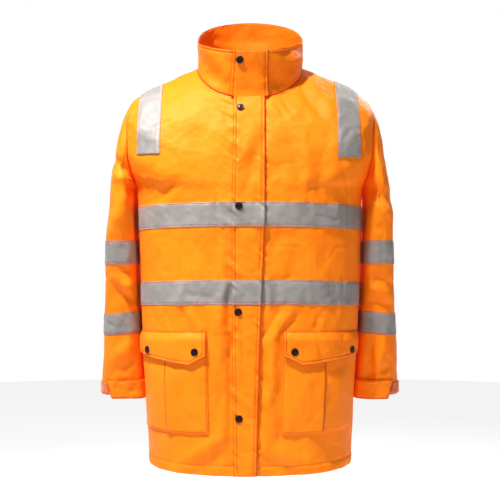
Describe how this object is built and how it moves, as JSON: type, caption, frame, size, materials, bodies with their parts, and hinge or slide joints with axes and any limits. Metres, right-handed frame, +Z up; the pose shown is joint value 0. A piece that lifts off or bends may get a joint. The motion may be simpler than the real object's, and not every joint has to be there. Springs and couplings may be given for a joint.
{
  "type": "hi-vis work jacket",
  "caption": "Thigh-length hi-vis work jacket, orange cloth with silver reflective tapes, stand-up collar, studded storm flap and flap pockets, filled out as worn",
  "frame": {"origin": "where the wearer's shoulders carry the jacket: on its centre line, level with the base of the neck at its sides", "axes": "+X towards the wearer's left, +Y towards the back, +Z up"},
  "size_m": [0.651, 0.3106, 0.97],
  "materials": {
    "orange_cloth": "fluorescent orange coated polyester Oxford, slight sheen",
    "reflective_tape": "silver glass-bead retroreflective tape with paler woven margins",
    "press_stud": "black lacquered press-stud cap",
    "hook_and_loop": "coral hook-and-loop strip, matt pile"
  },
  "bodies": {
    "root": {"back": "orange_cloth", "body_tape_1_back": "reflective_tape", "body_tape_1_front_left": "reflective_tape", "body_tape_1_front_right": "reflective_tape", "body_tape_1_storm_flap": "reflective_tape", "body_tape_2_back": "reflective_tape", "body_tape_2_front_left": "reflective_tape", "body_tape_2_front_right": "reflective_tape", "body_tape_2_storm_flap": "reflective_tape", "collar": "orange_cloth", "collar_inner": "orange_cloth", "cuff_strip_left": "hook_and_loop", "cuff_strip_right": "hook_and_loop", "cuff_tab_left": "orange_cloth", "cuff_tab_right": "orange_cloth", "front_left": "orange_cloth", "front_right": "orange_cloth", "pocket_flap_left": "orange_cloth", "pocket_flap_right": "orange_cloth", "pocket_left": "orange_cloth", "pocket_right": "orange_cloth", "shoulder_tape_left": "reflective_tape", "shoulder_tape_right": "reflective_tape", "sleeve_left": "orange_cloth", "sleeve_right": "orange_cloth", "sleeve_tape_1_left": "reflective_tape", "sleeve_tape_1_right": "reflective_tape", "sleeve_tape_2_left": "reflective_tape", "sleeve_tape_2_right": "reflective_tape", "storm_flap": "orange_cloth", "stud_chest": "press_stud", "stud_collar": "press_stud", "stud_hem": "press_stud", "stud_pocket_left_inner": "press_stud", "stud_pocket_left_outer": "press_stud", "stud_pocket_right_inner": "press_stud", "stud_pocket_right_outer": "press_stud", "stud_tape": "press_stud", "stud_waist": "press_stud"}
  },
  "joints": []
}
